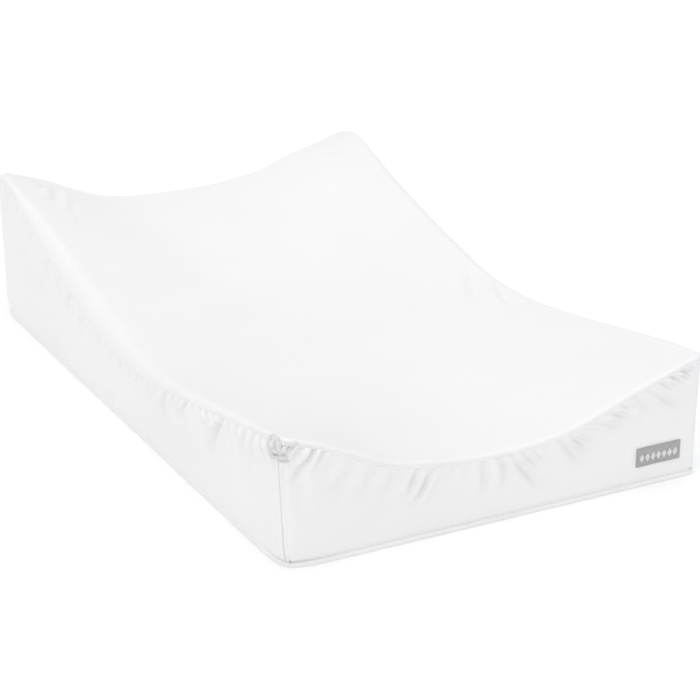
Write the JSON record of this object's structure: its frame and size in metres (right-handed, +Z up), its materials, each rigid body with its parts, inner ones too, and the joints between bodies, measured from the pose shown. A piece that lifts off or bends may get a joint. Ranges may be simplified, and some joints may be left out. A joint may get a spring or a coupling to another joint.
{
  "type": "changing pad",
  "caption": "Wedge-shaped baby changing pad: foam base sheet and wedges raised at the head and sides, in a sewn white cover that closes with a zip.",
  "frame": {"origin": "middle of the underside, on the surface the pad lies on", "axes": "+Y along the pad towards the raised head end, +X to the right as seen from the foot end, +Z up"},
  "size_m": [0.454, 0.7584, 0.166],
  "materials": {
    "foam": "matte",
    "cover_fabric": "satin",
    "cover_trim": "satin",
    "label_fabric": "matte",
    "label_thread": "matte",
    "care_label_satin": "satin",
    "zip_tape": "matte",
    "zip_coil": "satin",
    "zip_metal": "satin"
  },
  "bodies": {
    "pad": {"foam_base_sheet": "foam", "foam_wedge_head": "foam", "foam_wedge_left": "foam", "foam_wedge_right": "foam", "cover_top_panel": "cover_fabric", "cover_left_panel": "cover_fabric", "cover_right_panel": "cover_fabric", "cover_foot_panel": "cover_fabric", "cover_head_upper_panel": "cover_fabric", "cover_head_lower_panel": "cover_fabric", "cover_bottom_panel": "cover_fabric", "bottom_binding": "cover_trim", "top_seam_welt": "cover_trim", "corner_seam_foot_left": "cover_trim", "corner_seam_foot_right": "cover_trim", "corner_seam_head_left": "cover_trim", "corner_seam_head_right": "cover_trim", "corner_gather": "cover_trim", "foot_label": "label_fabric", "label_stitching": "label_thread", "care_label": "care_label_satin", "zip_tape_upper": "zip_tape", "zip_tape_lower": "zip_tape", "zip_coil_upper": "zip_coil", "zip_coil_lower": "zip_coil", "zip_end_stops": "zip_metal"},
    "slider": {"zip_slider": "zip_metal"},
    "pull": {"zip_pull": "zip_metal"}
  },
  "joints": [
    {"name": "zip_slide", "type": "slide", "parent": "pad", "child": "slider", "axis": [1, 0, 0], "range_m": [0, 0.36]},
    {"name": "zip_pull_flip", "type": "hinge", "parent": "slider", "child": "pull", "pos_m": [-0.178, 0.3776, 0.024], "axis": [0, 0, -1], "range_deg": [0, 170]}
  ]
}
